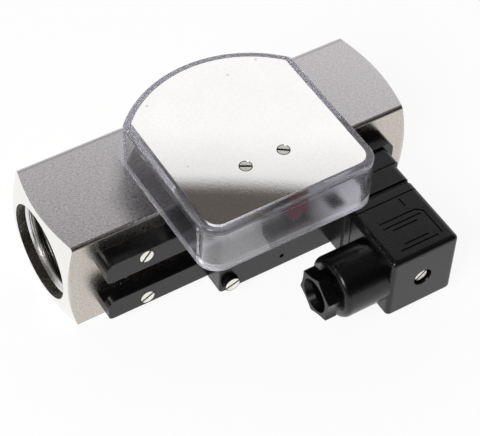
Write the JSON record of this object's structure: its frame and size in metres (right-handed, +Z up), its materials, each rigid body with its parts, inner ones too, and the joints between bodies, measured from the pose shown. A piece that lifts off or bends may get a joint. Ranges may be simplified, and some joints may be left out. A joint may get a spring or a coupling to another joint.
{
  "type": "variable area flow meter",
  "caption": "Square steel bar with threaded ports, a sprung float inside, a magnetic follower under a clear cover, and a reed switch with a square cable plug that slides on front rails.",
  "frame": {"origin": "middle of the bar's bottom face", "axes": "+X along the flow from inlet to outlet, +Z up towards the clear cover, -Y towards the rails and the cable plug"},
  "size_m": [0.134, 0.092, 0.0595],
  "materials": {
    "bar_steel": "ground stainless bar with turned end faces",
    "turned_steel": "fine turned stainless",
    "spring_steel": "drawn spring wire",
    "plate_metal": "bare brushed sheet",
    "screw_metal": "nickel plated",
    "turned_brass": "bare brass",
    "magnet": "sintered, dull grey",
    "clear_plastic": "clear moulded, polished",
    "black_plastic": "black moulded, fine grain",
    "dark_plastic": "dark moulded",
    "red_plastic": "red moulded",
    "black_rubber": "soft black",
    "reed_glass": "sealed tube"
  },
  "bodies": {
    "meter": {"meter_body": "bar_steel", "orifice_ring": "turned_steel", "inlet_guide": "turned_steel", "outlet_guide": "turned_steel", "retaining_rings": "spring_steel", "guide_rod": "turned_steel", "return_spring": "spring_steel", "indicator_base": "plate_metal", "base_screws": "screw_metal", "pillars": "turned_brass", "dial_plate": "plate_metal", "clear_cover": "clear_plastic", "cover_screws": "screw_metal", "pivot_pin": "turned_steel", "pivot_clip": "spring_steel", "upper_rail": "black_plastic", "lower_rail": "black_plastic", "rail_screws": "screw_metal"},
    "float": {"float_cone": "turned_steel", "float_magnet": "magnet", "magnet_nut": "turned_steel"},
    "follower": {"follower_lever": "dark_plastic", "follower_magnet": "magnet", "follower_flag": "red_plastic"},
    "switch_carriage": {"switch_housing": "black_plastic", "reed_switch": "reed_glass", "plug_base": "black_plastic", "contact_blades": "turned_brass", "plug_gasket": "black_rubber", "plug_cap": "black_plastic", "terminal_insert": "dark_plastic", "cap_screw": "screw_metal", "gland_seal": "black_rubber", "gland_washer": "screw_metal"},
    "clamp_screw": {"clamp_screw": "screw_metal"},
    "gland_nut": {"gland_nut": "black_plastic"}
  },
  "joints": [
    {"name": "float_slide", "type": "slide", "parent": "meter", "child": "float", "axis": [1, 0, 0], "range_m": [0, 0.014], "stiffness_N_per_m": 80, "springref_m": -0.01, "deforming": ["return_spring"]},
    {"name": "follower_swing", "type": "hinge", "parent": "meter", "child": "follower", "pos_m": [0, -0.0314, 0.0438], "axis": [0, 0, 1], "range_deg": [-26.5, 0]},
    {"name": "switch_slide", "type": "slide", "parent": "meter", "child": "switch_carriage", "axis": [1, 0, 0], "range_m": [-0.026, 0.003]},
    {"name": "clamp_turn", "type": "hinge", "parent": "switch_carriage", "child": "clamp_screw", "pos_m": [-0.014, -0.03, 0.0095], "axis": [0, 1, 0], "continuous": true},
    {"name": "gland_turn", "type": "hinge", "parent": "switch_carriage", "child": "gland_nut", "pos_m": [0.008, -0.0605, 0.0184], "axis": [1, 0, 0], "continuous": true}
  ],
  "couplings": [
    {"joint": "follower_swing", "follows": "float_slide", "rad_per_m": -32.12}
  ]
}
